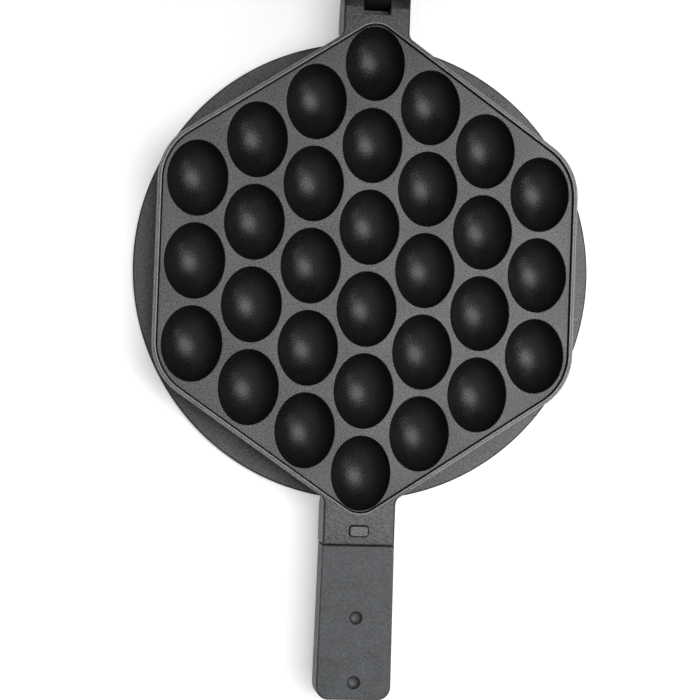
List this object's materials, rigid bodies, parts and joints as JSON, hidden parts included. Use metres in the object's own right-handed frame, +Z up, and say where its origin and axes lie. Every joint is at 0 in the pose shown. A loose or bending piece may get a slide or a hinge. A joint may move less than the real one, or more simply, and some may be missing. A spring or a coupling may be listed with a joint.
{
  "type": "bubble waffle maker",
  "caption": "Hinged two-half cast pan for bubble waffles, with egg-shaped cavities, a hexagonal baking plate, round base rings and a straight grip on each half; the lid stands open.",
  "frame": {"origin": "centre of the lower base ring's underside, which is the surface that the pan stands on", "axes": "+Z up out of the lower cavities, +Y from the grips towards the hinge, +X to the right of someone who holds the grips; the lid is open at 90 degrees"},
  "size_m": [0.2014, 0.3284, 0.3173],
  "materials": {
    "casting": "grey non-stick coat on cast aluminium, finely speckled and satin, darker in the cavities",
    "grip": "grey phenolic moulding, matt with a fine mottle",
    "pin_steel": "turned steel",
    "screw_steel": "zinc plated, dulled",
    "insert_brass": "turned brass"
  },
  "bodies": {
    "lower_half": {"lower_plate": "casting", "lower_grip": "grip", "lower_grip_screws": "screw_steel", "lower_grip_inserts": "insert_brass", "hinge_pin": "pin_steel"},
    "lid": {"lid_plate": "casting", "lid_grip": "grip", "lid_grip_screws": "screw_steel", "lid_grip_inserts": "insert_brass"}
  },
  "joints": [
    {"name": "lid_hinge", "type": "hinge", "parent": "lower_half", "child": "lid", "pos_m": [0, 0.1168, 0.0158], "axis": [1, 0, 0], "range_deg": [0, 90]}
  ]
}
